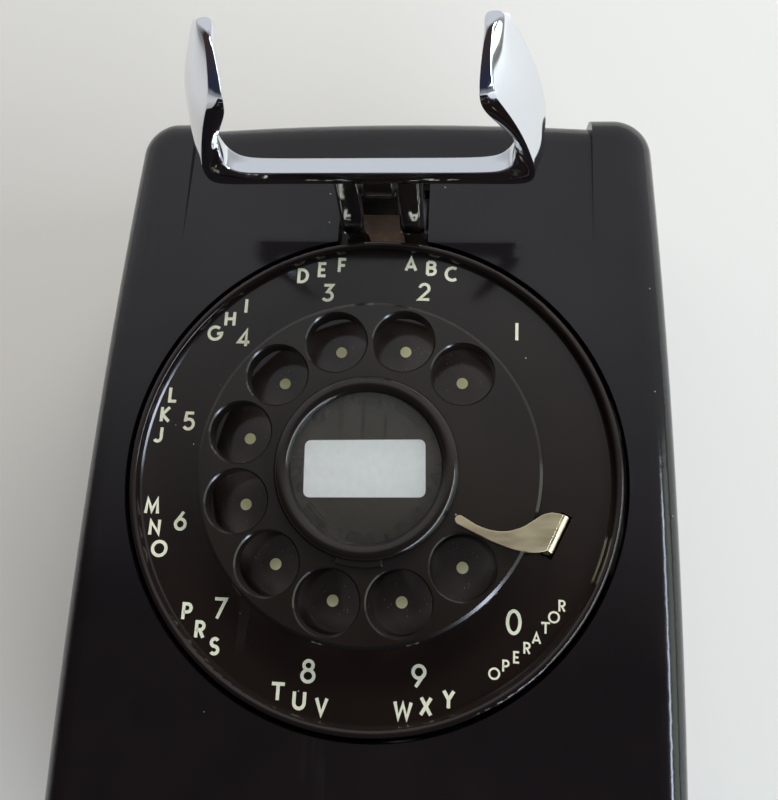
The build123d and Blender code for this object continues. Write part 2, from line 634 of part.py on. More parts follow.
# ---------------------------------------------------------------- cradle
BAR_HALF = 35.6             # outside of the arms
BAR_BACK = 18.3
BAR_FRONT = 23.0
BAR_LOW = 61.9
BAR_HIGH = 65.6
ARM_HIGH = BAR_HIGH + 2.6    # where an arm meets the wall side of the bar
ARM_IN = 31.0               # inside of the arms at the bar
SCOOP_IN = 26.8             # where the bar starts to sweep up into an arm
FLANGE_IN = 4.1
FLANGE_OUT = 10.1
WEB_BACK = 10.9             # rear of the web that joins the flanges
BOSS_RADIUS = 5.0           # round each pivot hole
TIP = (25.2, 59.4)          # an arm's tip from above: across and out
TIP_INNER = (22.6, 57.0)
TIP_SIDE = (59.3, 72.4)     # the same tip from the side: out and up
TIP_TOP = (56.2, 72.6)
PLAN_BELOW = 90             # planes that lie clear of the cradle, to cut it from
SIDE_AWAY = 60
with BuildPart() as cradle:
    # arms seen from above: they run out from the bar and curl inwards
    with BuildSketch(PLAN.offset(-PLAN_BELOW)):
        for hand in (-1, 1):
            with BuildLine():
                Spline(
                    (hand * BAR_HALF, BAR_BACK),
                    (hand * 36.4, 29.0),
                    (hand * 35.9, 38.0),
                    (hand * 33.6, 47.5),
                    (hand * 29.8, 55.0),
                    (hand * TIP[0], TIP[1]),
                )
                ThreePointArc(
                    (hand * TIP[0], TIP[1]),
                    (hand * 23.2, 59.2),
                    (hand * TIP_INNER[0], TIP_INNER[1]),
                )
                Spline(
                    (hand * TIP_INNER[0], TIP_INNER[1]),
                    (hand * 26.0, 51.5),
                    (hand * 29.2, 43.0),
                    (hand * 31.0, 34.0),
                    (hand * 31.4, 26.0),
                    (hand * ARM_IN, BAR_BACK),
                )
                Line((hand * ARM_IN, BAR_BACK), (hand * BAR_HALF, BAR_BACK))
            make_face()
    extrude(amount=40)
    # the same arms seen from the side: level underneath, rising to a tip in front
    with BuildSketch(SIDE.offset(-SIDE_AWAY)):
        with BuildLine():
            Polyline((BAR_BACK, ARM_HIGH), (BAR_BACK, BAR_LOW), (30.0, 61.0))
            Spline((30.0, 61.0), (42.0, 59.8), (51.0, 59.6), (56.0, 62.6), (58.6, 67.2), TIP_SIDE)
            ThreePointArc(TIP_SIDE, (57.8, 73.8), TIP_TOP)
            Spline(
                TIP_TOP,
                (50.0, 69.0),
                (42.0, 67.0),
                (32.0, 66.6),
                (24.0, 67.4),
                (BAR_BACK, ARM_HIGH),
            )
        make_face()
    extrude(amount=2 * SIDE_AWAY, mode=Mode.INTERSECT)
    # bar across the back of the arms
    with BuildSketch(FACE.offset(BAR_BACK)):
        with BuildLine():
            Polyline(
                (-BAR_HALF, ARM_HIGH),
                (-BAR_HALF, BAR_LOW),
                (BAR_HALF, BAR_LOW),
                (BAR_HALF, ARM_HIGH),
                (ARM_IN, ARM_HIGH),
            )
            ThreePointArc((ARM_IN, ARM_HIGH), (30.0, 66.4), (SCOOP_IN, BAR_HIGH))
            Line((SCOOP_IN, BAR_HIGH), (-SCOOP_IN, BAR_HIGH))
            ThreePointArc((-SCOOP_IN, BAR_HIGH), (-30.0, 66.4), (-ARM_IN, ARM_HIGH))
            Line((-ARM_IN, ARM_HIGH), (-BAR_HALF, ARM_HIGH))
        make_face()
    extrude(amount=BAR_FRONT - BAR_BACK)
    # two flanges from the bar back to the pivot, joined by a short web
    with BuildSketch(SIDE.offset(-FLANGE_OUT)):
        with BuildLine():
            Polyline(
                (BAR_BACK + 0.5, BAR_LOW),
                (BAR_BACK + 0.5, BAR_HIGH),
                (PIVOT_OUT, PIVOT_UP + BOSS_RADIUS),
                (PIVOT_OUT - 4, PIVOT_UP),
                (PIVOT_OUT, BAR_LOW),
                close=True,
            )
        make_face()
        with Locations((PIVOT_OUT, PIVOT_UP)):
            Circle(BOSS_RADIUS)
    extrude(amount=2 * FLANGE_OUT)
    with BuildSketch(FACE.offset(PIVOT_OUT - 2 * BOSS_RADIUS)):
        with Locations((0, PIVOT_UP)):
            Rectangle(2 * FLANGE_IN, 4 * BOSS_RADIUS)
    extrude(amount=WEB_BACK - PIVOT_OUT + 2 * BOSS_RADIUS, mode=Mode.SUBTRACT)
    with BuildSketch(SIDE.offset(-SIDE_AWAY)):
        with Locations((PIVOT_OUT, PIVOT_UP)):
            Circle(PIVOT_RADIUS + RUNNING)
    extrude(amount=2 * SIDE_AWAY, mode=Mode.SUBTRACT)
finish(cradle.part, "cradle")

LEVER_HALF = FLANGE_IN
LEVER_FOOT = 45.0
LEVER_BACK = -19.5
with BuildPart() as switch_lever:
    with BuildSketch(SIDE.offset(-LEVER_HALF)):
        with BuildLine():
            Polyline(
                (LEVER_BACK, LEVER_FOOT),
                (LEVER_BACK + 3.0, LEVER_FOOT),
                (LEVER_BACK + 3.0, PIVOT_UP - 6),
                (PIVOT_OUT + 4.5, PIVOT_UP - 4.5),
                (PIVOT_OUT + 4.5, PIVOT_UP + 3.5),
                (LEVER_BACK, PIVOT_UP + 3.5),
                close=True,
            )
        make_face()
        with Locations((PIVOT_OUT, PIVOT_UP)):
            Circle(PIVOT_RADIUS + RUNNING, mode=Mode.SUBTRACT)
    extrude(amount=2 * LEVER_HALF)
finish(switch_lever.part, "switch_lever")

# ---------------------------------------------------------------- hookswitch
CHEEK_IN = 10.6
CHEEK_SHEET = 1.6
pivot_point = on_face(0, PIVOT_UP, PIVOT_OUT)
CHEEK_LOW = 70.0
CHEEK_HIGH = 97.0
CHEEK_OUT = 47.5
with BuildPart() as hook_bracket:
    with BuildSketch(BACK.offset(BASE_THICK)):
        with Locations((0, (CHEEK_LOW + CHEEK_HIGH) / 2)):
            Rectangle(2 * (CHEEK_IN + CHEEK_SHEET), CHEEK_HIGH - CHEEK_LOW)
    extrude(amount=CHEEK_OUT - BASE_THICK)
    with BuildSketch(BACK.offset(BASE_THICK + CHEEK_SHEET)):
        with Locations((0, (CHEEK_LOW + CHEEK_HIGH) / 2)):
            Rectangle(2 * CHEEK_IN, CHEEK_HIGH - CHEEK_LOW + 2)
    extrude(amount=CHEEK_OUT, mode=Mode.SUBTRACT)
    with BuildSketch(CROSS.offset(-20)):
        with Locations((-pivot_point.Y, pivot_point.Z)):
            Circle(PIVOT_RADIUS)
        with Locations((20, CHEEK_LOW + 10)):
            RectangleRounded(16, 9, 3)
    extrude(amount=40, mode=Mode.SUBTRACT)
    fillet(hook_bracket.edges().filter_by(Axis.X).group_by(Axis.Y)[0], 6)
finish(hook_bracket.part, "hook_bracket")

with BuildPart() as pivot_pin:
    with BuildSketch(SIDE.offset(-20)):
        with Locations((PIVOT_OUT, PIVOT_UP)):
            Circle(PIVOT_RADIUS)
    extrude(amount=34)
finish(pivot_pin.part, "pivot_pin")

with BuildPart() as hook_spring:
    with BuildLine() as coil:
        Helix(
            pitch=1.5,
            height=5,
            radius=2.8,
            center=pivot_point + Vector(12.9, 0, 0),
            direction=(1, 0, 0),
        )
    with BuildSketch(Plane(origin=coil.wires()[0] @ 0, z_dir=coil.wires()[0] % 0)):
        Circle(0.55)
    sweep(path=coil.wires()[0], is_frenet=True)
finish(hook_spring.part, "hook_spring")

PLUNGER_FRONT = LEVER_BACK - 0.4
PLUNGER_LENGTH = 7.0
with BuildPart() as switch_plunger:
    with BuildSketch(FACE.offset(PLUNGER_FRONT - PLUNGER_LENGTH)):
        with Locations((0, LEVER_FOOT + 3)):
            Rectangle(7, 5)
    extrude(amount=PLUNGER_LENGTH)
finish(switch_plunger.part, "switch_plunger")

SPRING_OUT = PLUNGER_FRONT - PLUNGER_LENGTH - 3.4
SPRING_STEP = 2.2
SPRING_COUNT = 4
spring_backs = [SPRING_OUT - SPRING_STEP * leaf for leaf in range(SPRING_COUNT)]
with BuildPart() as switch_springs:
    for back in spring_backs:
        with BuildSketch(FACE.offset(back)):
            with Locations((14, LEVER_FOOT + 3)):
                Rectangle(40, 3.4)
        extrude(amount=0.4)
finish(switch_springs.part, "switch_springs")

with BuildPart() as switch_pile:
    pile_back = spring_backs[-1] - 2.4
    pile_front = SPRING_OUT + 2.4
    with BuildSketch(FACE.offset(pile_back)):
        with Locations((27, LEVER_FOOT + 3)):
            Rectangle(11, 11)
    extrude(amount=pile_front - pile_back)
    for back in spring_backs:
        with BuildSketch(FACE.offset(back)):
            with Locations((14, LEVER_FOOT + 3)):
                Rectangle(40, 3.4)
        extrude(amount=0.4, mode=Mode.SUBTRACT)
finish(switch_pile.part, "switch_pile")

with BuildPart() as pile_bracket:
    with BuildSketch(BACK.offset(BASE_THICK)):
        with Locations((27, on_face(0, LEVER_FOOT + 3, pile_back).Z)):
            Rectangle(12, 11)
    extrude(amount=40)
    split(bisect_by=FACE.offset(pile_back), keep=Keep.BOTTOM)
finish(pile_bracket.part, "pile_bracket")

# ---------------------------------------------------------------- network block
NETWORK_HALF_X = 39.0
NETWORK_LOW = -20.0
NETWORK_HIGH = 37.0
NETWORK_FRONT = 25.0
terminal_points = [(-33 + 11 * column, row) for column in range(7) for row in (-15, 32)]
with BuildPart() as network_block:
    with BuildSketch(BACK.offset(BASE_THICK)):
        with Locations((0, (NETWORK_LOW + NETWORK_HIGH) / 2)):
            RectangleRounded(2 * NETWORK_HALF_X, NETWORK_HIGH - NETWORK_LOW, 3)
    extrude(amount=NETWORK_FRONT - BASE_THICK)
    chamfer(network_block.edges().group_by(Axis.Y)[0], 1)
    with BuildSketch(BACK.offset(NETWORK_FRONT)):
        with Locations(*terminal_points):
            Circle(1.5)
    extrude(amount=-7, mode=Mode.SUBTRACT)
finish(network_block.part, "network_block")

terminal_screws = slotted_screws(BACK.offset(NETWORK_FRONT), terminal_points, 3.0, 1.6, 1.5, 6)
finish(terminal_screws, "terminal_screws")

# ---------------------------------------------------------------- ringer
FRAME_OUT = 10.0
FRAME_SHEET = 1.6
FRAME_FRONT = FRAME_OUT + FRAME_SHEET
frame_points = [(-44, -46), (44, -46), (0, -92)]
with BuildPart() as ringer_grommets:
    with BuildSketch(BACK.offset(BASE_THICK)):
        with Locations(*frame_points):
            Circle(4)
            Circle(1.6, mode=Mode.SUBTRACT)
    extrude(amount=FRAME_OUT - BASE_THICK)
finish(ringer_grommets.part, "ringer_grommets")

with BuildPart() as ringer_frame:
    with BuildSketch(BACK.offset(FRAME_OUT)):
        with Locations((0, -50)):
            RectangleRounded(98, 24, 4)
        with Locations((0, -79)):
            RectangleRounded(68, 40, 5)
        with Locations(*frame_points):
            Circle(1.6, mode=Mode.SUBTRACT)
        with Locations((0, -78)):
            RectangleRounded(22, 18, 3, mode=Mode.SUBTRACT)
    extrude(amount=FRAME_SHEET)
    # posts that carry the gongs, and the armature's pivot pin
    with BuildSketch(BACK.offset(FRAME_FRONT)):
        with Locations((-GONG_X, GONG_Z), (GONG_X, GONG_Z)):
            Circle(3.4)
    extrude(amount=GONG_BACK + GONG_DEPTH - 1.4 - FRAME_FRONT)
finish(ringer_frame.part, "ringer_frame")

COIL_Z = -46.0
COIL_OUT = 22.5
COIL_RADIUS = 8.6
CORE_RADIUS = 3.4
COIL_LENGTH = 23.0
ACROSS = Plane.YZ           # local right is +Y
with BuildPart() as coils:
    for start in (-28.5, 5.5):
        with BuildSketch(ACROSS.offset(start)):
            with Locations((-COIL_OUT, COIL_Z)):
                Circle(COIL_RADIUS - 0.6)
                Circle(CORE_RADIUS, mode=Mode.SUBTRACT)
        extrude(amount=COIL_LENGTH)
        for cheek in (start, start + COIL_LENGTH - 1.0):
            with BuildSketch(ACROSS.offset(cheek)):
                with Locations((-COIL_OUT, COIL_Z)):
                    Circle(COIL_RADIUS + 0.6)
                    Circle(CORE_RADIUS, mode=Mode.SUBTRACT)
            extrude(amount=1.0)
finish(coils.part, "coils")

with BuildPart() as coil_core:
    with BuildSketch(ACROSS.offset(-30.5)):
        with Locations((-COIL_OUT, COIL_Z)):
            Circle(CORE_RADIUS)
    extrude(amount=61)
    for start in (-30.5, 28.5):
        with BuildSketch(ACROSS.offset(start)):
            with Locations(((-FRAME_FRONT - 28) / 2, COIL_Z - 1)):
                Rectangle(28 - FRAME_FRONT, 14)
        extrude(amount=2.0)
finish(coil_core.part, "coil_core")

with BuildPart() as magnet:
    with BuildSketch(BACK.offset(FRAME_FRONT)):
        with Locations((0, COIL_Z)):
            Rectangle(10.4, 18)
    extrude(amount=14)
    with BuildSketch(ACROSS.offset(-10)):
        with Locations((-COIL_OUT, COIL_Z)):
            Circle(CORE_RADIUS)
    extrude(amount=20, mode=Mode.SUBTRACT)
finish(magnet.part, "magnet")

for side, label in ((-1, "gong_left"), (1, "gong_right")):
    with BuildPart() as gong:
        gong_plane = Plane(
            origin=(side * GONG_X, -GONG_BACK, GONG_Z), x_dir=(1, 0, 0), z_dir=(0, 0, 1)
        )
        with BuildSketch(gong_plane):
            with BuildLine():
                Polyline((2.0, -GONG_DEPTH), (9.0, -GONG_DEPTH))
                ThreePointArc((9.0, -GONG_DEPTH), (17.6, -7.4), (GONG_RADIUS, 0))
                Line((GONG_RADIUS, 0), (GONG_RADIUS - 1.4, 0))
                ThreePointArc(
                    (GONG_RADIUS - 1.4, 0), (16.6, -6.4), (8.8, -GONG_DEPTH + 1.4)
                )
                Polyline((8.8, -GONG_DEPTH + 1.4), (2.0, -GONG_DEPTH + 1.4), (2.0, -GONG_DEPTH))
            make_face()
        revolve(axis=Axis((side * GONG_X, -GONG_BACK, GONG_Z), (0, 1, 0)))
    finish(gong.part, label)

gong_points = [(-GONG_X, GONG_Z), (GONG_X, GONG_Z)]
gong_screws = slotted_screws(BACK.offset(GONG_BACK + GONG_DEPTH), gong_points, 4.2, 1.8, 2.0, 1.4)
finish(gong_screws, "gong_screws")

ARMATURE_Z = -59.5
ARMATURE_BACK = 15.5
ARMATURE_FRONT = 21.5
with BuildPart() as armature_pin:
    with BuildSketch(BACK.offset(FRAME_FRONT)):
        with Locations((0, ARMATURE_Z)):
            Circle(1.5)
    extrude(amount=ARMATURE_FRONT + 2 - FRAME_FRONT)
finish(armature_pin.part, "armature_pin")

with BuildPart() as armature:
    with BuildSketch(BACK.offset(ARMATURE_BACK)):
        with Locations((0, ARMATURE_Z)):
            Rectangle(52, 2.4)
            Circle(3.4)
            Circle(1.5 + RUNNING, mode=Mode.SUBTRACT)
    extrude(amount=ARMATURE_FRONT - ARMATURE_BACK)
finish(armature.part, "armature")

BALL_OUT = 31.0
with BuildPart() as clapper:
    with BuildSketch(ACROSS.offset(-0.6)):
        with BuildLine():
            Polyline(
                (-ARMATURE_BACK - 1, ARMATURE_Z - 3.4),
                (-ARMATURE_FRONT + 1, ARMATURE_Z - 3.4),
                (-ARMATURE_FRONT + 1, GONG_Z + 4),
                (-BALL_OUT + 1, GONG_Z + 1.2),
                (-BALL_OUT + 1, GONG_Z - 1.2),
                (-ARMATURE_FRONT + 3, GONG_Z),
                (-ARMATURE_BACK - 1, GONG_Z + 6),
                close=True,
            )
        make_face()
    extrude(amount=1.2)
    with Locations((0, -BALL_OUT, GONG_Z)):
        Sphere(3.4)
finish(clapper.part, "clapper")

# ---------------------------------------------------------------- loudness control
THUMB_SHAFT = 2.0
with BuildPart() as loudness_bracket:
    with BuildSketch(ACROSS.offset(THUMB_X - THUMB_WIDTH / 2 - 3.2)):
        with BuildLine():
            Polyline(
                (-BASE_THICK, -101.6),
                (-THUMB_OUT - 6, -101.6),
                (-THUMB_OUT - 6, THUMB_Z + 5),
                (-THUMB_OUT + 12, THUMB_Z + 5),
                (-THUMB_OUT + 14, -100.4),
                (-BASE_THICK, -100.4),
                close=True,
            )
        make_face()
        with Locations((-THUMB_OUT, THUMB_Z)):
            Circle(THUMB_SHAFT + RUNNING, mode=Mode.SUBTRACT)
    extrude(amount=2.0)
finish(loudness_bracket.part, "loudness_bracket")

with BuildPart() as loudness_wheel:
    with BuildSketch(ACROSS.offset(THUMB_X - THUMB_WIDTH / 2)):
        with Locations((-THUMB_OUT, THUMB_Z)):
            Circle(THUMB_RADIUS - 0.7)
            with PolarLocations(THUMB_RADIUS - 0.9, 36):
                Circle(0.8)
            Circle(THUMB_SHAFT, mode=Mode.SUBTRACT)
    extrude(amount=THUMB_WIDTH)
finish(loudness_wheel.part, "loudness_wheel")

with BuildPart() as loudness_shaft:
    with BuildSketch(ACROSS.offset(THUMB_X - THUMB_WIDTH / 2 - 5)):
        with Locations((-THUMB_OUT, THUMB_Z)):
            Circle(THUMB_SHAFT)
    extrude(amount=THUMB_WIDTH + 6.5)
finish(loudness_shaft.part, "loudness_shaft")

# ---------------------------------------------------------------- line terminals
LINE_Z = 48.0
line_points = [(40 + 8 * column, LINE_Z) for column in range(2)]
with BuildPart() as line_terminals:
    with BuildSketch(BACK.offset(BASE_THICK)):
        with Locations((44, LINE_Z)):
            RectangleRounded(22, 12, 2)
    extrude(amount=8)
    with BuildSketch(BACK.offset(BASE_THICK + 8)):
        with Locations(*line_points):
            Circle(1.3)
    extrude(amount=-6, mode=Mode.SUBTRACT)
finish(line_terminals.part, "line_terminals")

line_screws = slotted_screws(BACK.offset(BASE_THICK + 8), line_points, 2.8, 1.6, 1.3, 5)
finish(line_screws, "line_screws")
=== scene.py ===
import json
import math

import bmesh
import bpy
from mathutils import Matrix, Vector

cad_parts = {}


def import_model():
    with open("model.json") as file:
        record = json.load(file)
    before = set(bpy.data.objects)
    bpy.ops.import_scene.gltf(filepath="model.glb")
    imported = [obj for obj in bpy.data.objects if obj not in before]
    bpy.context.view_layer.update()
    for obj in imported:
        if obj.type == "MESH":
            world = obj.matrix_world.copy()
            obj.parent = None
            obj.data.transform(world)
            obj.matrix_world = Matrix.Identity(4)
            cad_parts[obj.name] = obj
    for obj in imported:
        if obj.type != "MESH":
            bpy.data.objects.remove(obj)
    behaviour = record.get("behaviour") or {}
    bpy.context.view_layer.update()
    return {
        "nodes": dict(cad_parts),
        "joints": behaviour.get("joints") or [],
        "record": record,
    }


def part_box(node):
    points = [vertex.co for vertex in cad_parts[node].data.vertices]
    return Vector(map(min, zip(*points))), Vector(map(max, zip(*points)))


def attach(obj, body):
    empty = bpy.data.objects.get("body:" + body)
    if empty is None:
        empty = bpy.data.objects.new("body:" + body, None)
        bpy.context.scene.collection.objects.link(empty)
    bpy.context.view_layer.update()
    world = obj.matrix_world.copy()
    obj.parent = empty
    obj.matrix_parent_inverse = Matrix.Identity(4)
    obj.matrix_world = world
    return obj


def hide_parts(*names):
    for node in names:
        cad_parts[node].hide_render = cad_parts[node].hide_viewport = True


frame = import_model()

# Looks for a rotary dial wall telephone. Metres, upright as it hangs, front faces -Y.
# Places on the dial are given as right, up and out from the middle of the number plate's
# face, in millimetres.

MM = 0.001
joints = {joint["name"]: joint for joint in frame["joints"]}
dial_centre = Vector(joints["dial_turn"]["pos_m"])
dial_out = -Vector(joints["dial_turn"]["axis"]).normalized()
dial_right = Vector((1, 0, 0))
dial_up = dial_out.cross(dial_right)


def on_dial(right, up, out):
    """A point in the row frame from its place on the dial, in millimetres."""
    return dial_centre + (dial_right * right + dial_up * up + dial_out * out) * MM


# ---------------------------------------------------------------- camera
EYE = (20.5, -22.0, 169.8)
AIM = (3.4, 17.0, 0.0)
ROLL = math.radians(2.25)
FOCAL_LENGTH = 33.95

camera_data = bpy.data.cameras.new("camera")
camera_data.lens = FOCAL_LENGTH
camera_data.sensor_width = 36.0
camera_data.clip_start = 0.01
camera = bpy.data.objects.new("camera", camera_data)
bpy.context.scene.collection.objects.link(camera)
bpy.context.scene.camera = camera
looking = (on_dial(*AIM) - on_dial(*EYE)).to_track_quat("-Z", "Y").to_matrix()
camera.matrix_world = Matrix.Translation(on_dial(*EYE)) @ (
    looking @ Matrix.Rotation(ROLL, 3, "Z")
).to_4x4()


# ---------------------------------------------------------------- shader nodes
def feed(tree, socket, value):
    """Links a socket from another one, or gives it a number, vector or colour."""
    if isinstance(value, bpy.types.NodeSocket):
        tree.links.new(value, socket)
    elif socket.type == "RGBA":
        socket.default_value = (*value, 1)
    else:
        socket.default_value = value


def set_inputs(tree, node, **values):
    """Feeds a node's inputs by name, with _ for a space."""
    for name, value in values.items():
        feed(tree, node.inputs[name.replace("_", " ")], value)


def add_node(tree, kind, **settings):
    """Adds a node; settings are its inputs by name, with _ for a space, or its properties."""
    node = tree.nodes.new(kind)
    for name, value in settings.items():
        if name.replace("_", " ") in node.inputs:
            set_inputs(tree, node, **{name: value})
        else:
            setattr(node, name, value)
    return node


def calculate(tree, operation, *values):
    """The result of a sum on numbers or sockets."""
    node = add_node(tree, "ShaderNodeMath", operation=operation)
    for socket, value in zip(node.inputs, values):
        feed(tree, socket, value)
    return node.outputs[0]


def object_coords(tree):
    return tree.nodes.new("ShaderNodeTexCoord").outputs["Object"]


def noise(tree, scale, detail=2.0, stretch=None, turn=(0, 0, 0)):
    """Noise at so many features per metre, stretched and turned if asked."""
    coords = object_coords(tree)
    if stretch:
        mapping = add_node(tree, "ShaderNodeMapping", Vector=coords, Scale=stretch, Rotation=turn)
        coords = mapping.outputs["Vector"]
    texture = add_node(tree, "ShaderNodeTexNoise", Vector=coords, Scale=scale, Detail=detail)
    return texture.outputs["Fac"]


def ramp(tree, value, low, high, start=0.3, end=0.7):
    """Goes from low, where a value is at start, to high, where it is at end."""
    spread = add_node(
        tree, "ShaderNodeMapRange",
        Value=value, From_Min=start, From_Max=end, To_Min=low, To_Max=high,
    )
    return spread.outputs["Result"]


def mask(tree, value, start=0.3, end=0.7):
    """0 where a value is below start, rising to 1 at end."""
    return ramp(tree, value, 0.0, 1.0, start, end)


def blend_colours(tree, share, first, second):
    """Mixes two colours, or colour sockets, by the share of the second."""
    mix = add_node(tree, "ShaderNodeMix", data_type="RGBA", Factor=share)
    feed(tree, mix.inputs[6], first)
    feed(tree, mix.inputs[7], second)
    return mix.outputs[2]


def mix_shaders(tree, share, first, second):
    """Mixes two shader nodes by the share of the second."""
    mix = add_node(tree, "ShaderNodeMixShader", Fac=share)
    tree.links.new(first.outputs[0], mix.inputs[1])
    tree.links.new(second.outputs[0], mix.inputs[2])
    return mix.outputs["Shader"]


def bump(tree, shader, height, strength, distance):
    """Raises a shader's surface by a height socket; distance is in metres."""
    node = add_node(tree, "ShaderNodeBump", Height=height, Strength=strength, Distance=distance)
    set_inputs(tree, shader, Normal=node.outputs["Normal"])


def dust(tree, cells_per_metre, share, size):
    """A mask of sparse specks: a share of the cells hold one dot, its size in cells."""
    cells = add_node(
        tree, "ShaderNodeTexVoronoi", Vector=object_coords(tree), Scale=cells_per_metre
    )
    parts = add_node(tree, "ShaderNodeSeparateColor", Color=cells.outputs["Color"])
    near = calculate(tree, "LESS_THAN", cells.outputs["Distance"], size)
    chosen = calculate(tree, "LESS_THAN", parts.outputs["Red"], share)
    return calculate(tree, "MULTIPLY", near, chosen)


SCRATCH_CREST = 0.68        # the noise value that draws the scratches


def scratches(tree, turn, width):
    """A mask of thin lines that run one way, broken up along their length."""
    lines = noise(tree, scale=260, detail=1.0, stretch=(1.0, 0.05, 0.05), turn=turn)
    thin = mask(tree, lines, SCRATCH_CREST - width, SCRATCH_CREST)
    breaks = mask(tree, noise(tree, scale=45), start=0.56, end=0.66)
    return calculate(tree, "MULTIPLY", thin, breaks)


# ---------------------------------------------------------------- materials
SPECK_COLOUR = (0.36, 0.35, 0.33)
SCRATCH_TURN = (0.2, 0.9, 0.4)
SCRATCH_WIDTH = 0.02
SCRATCH_ROUGHNESS = 0.18    # added where a scratch is


def new_material(name):
    """A material with a principled shader, its node tree and that shader."""
    material = bpy.data.materials.new(name)
    material.use_nodes = True
    tree = material.node_tree
    tree.nodes.clear()
    shader = tree.nodes.new("ShaderNodeBsdfPrincipled")
    output = tree.nodes.new("ShaderNodeOutputMaterial")
    tree.links.new(shader.outputs["BSDF"], output.inputs["Surface"])
    return material, tree, shader


def gloss_plastic(name, colour, second, roughness):
    """Polished moulded plastic with a little haze, fine scratches and dust."""
    material, tree, shader = new_material(name)
    cloud = mask(tree, noise(tree, scale=35, detail=3.0))
    base = blend_colours(tree, cloud, colour, second)
    specks = dust(tree, cells_per_metre=210, share=0.3, size=0.036)
    base = blend_colours(tree, specks, base, SPECK_COLOUR)
    haze = ramp(tree, noise(tree, scale=60, detail=4.0), roughness * 0.88, roughness * 1.18)
    lines = scratches(tree, SCRATCH_TURN, SCRATCH_WIDTH)
    haze = calculate(tree, "MULTIPLY_ADD", lines, SCRATCH_ROUGHNESS, haze)
    set_inputs(tree, shader, Base_Color=base, Roughness=haze, IOR=1.5)
    bump(tree, shader, noise(tree, scale=24), strength=0.06, distance=0.0006)
    return material


def metal(name, colour, worn, roughness, grain, stretch=(1, 1, 1)):
    """Plated or bare metal with colour drift and a fine grain along one axis."""
    material, tree, shader = new_material(name)
    drift = mask(tree, noise(tree, scale=90, detail=4.0), start=0.42, end=0.7)
    fine = noise(tree, grain, detail=3.0, stretch=stretch)
    set_inputs(
        tree, shader,
        Base_Color=blend_colours(tree, drift, colour, worn),
        Roughness=ramp(tree, fine, roughness * 0.7, roughness * 1.4),
        Metallic=1.0,
    )
    bump(tree, shader, fine, strength=0.08, distance=0.0001)
    return material


def matte(name, colour, second, roughness, grain=400, depth=0.15, stretch=(1, 1, 1)):
    """Dull moulded, painted, taped or pressed material with a visible grain."""
    material, tree, shader = new_material(name)
    fine = noise(tree, grain, detail=4.0, stretch=stretch)
    set_inputs(
        tree, shader,
        Base_Color=blend_colours(tree, mask(tree, fine), colour, second),
        Roughness=ramp(tree, fine, roughness * 0.9, roughness * 1.1),
    )
    bump(tree, shader, fine, strength=depth, distance=0.0002)
    return material


def chrome():
    """Bright plating with fine pits and faint polishing lines."""
    material, tree, shader = new_material("chrome")
    pits = dust(tree, cells_per_metre=900, share=0.22, size=0.16)
    patches = mask(tree, noise(tree, scale=55, detail=3.0), start=0.55, end=0.75)
    pitted = calculate(tree, "MULTIPLY", pits, patches)
    lines = noise(tree, scale=700, detail=3.0, stretch=(1, 0.2, 1))
    set_inputs(
        tree, shader,
        Base_Color=blend_colours(tree, pitted, (0.83, 0.85, 0.9), (0.2, 0.2, 0.22)),
        Roughness=ramp(tree, lines, 0.035, 0.11),
        Metallic=1.0,
    )
    bump(tree, shader, noise(tree, scale=120), strength=0.05, distance=0.0004)
    return material


def clear_plastic():
    """The clear disc over the card."""
    material, tree, shader = new_material("clear_cover")
    set_inputs(
        tree, shader,
        Base_Color=(0.97, 0.97, 0.95),
        Roughness=ramp(tree, noise(tree, scale=300, detail=3.0), 0.03, 0.08),
        Transmission_Weight=1.0,
        IOR=1.45,
    )
    return material


def lay_painted_light_and_dust(material, centre, reach):
    """Paler colour on a material within a distance of a point, fading out over the last part:
    painted light that lifts the shade there, with dust specks in it.
    """
    tree = material.node_tree
    shader = next(node for node in tree.nodes if node.type == "BSDF_PRINCIPLED")
    clean = shader.inputs["Base Color"].links[0].from_socket
    apart = add_node(tree, "ShaderNodeVectorMath", operation="DISTANCE")
    feed(tree, apart.inputs[0], object_coords(tree))
    feed(tree, apart.inputs[1], centre)
    # Painted light: the plate turns paler within reach of the centre, where the wheel shades it.
    painted_light_share = ramp(tree, apart.outputs["Value"], 1.0, 0.0, start=reach * 0.9, end=reach)
    cloud = mask(tree, noise(tree, scale=160, detail=3.0))
    grey = blend_colours(tree, cloud, (0.042, 0.034, 0.030), (0.064, 0.052, 0.046))
    specks = dust(tree, cells_per_metre=1150, share=0.3, size=0.13)
    grey = blend_colours(tree, specks, grey, (0.24, 0.22, 0.19))
    set_inputs(tree, shader, Base_Color=blend_colours(tree, painted_light_share, clean, grey))


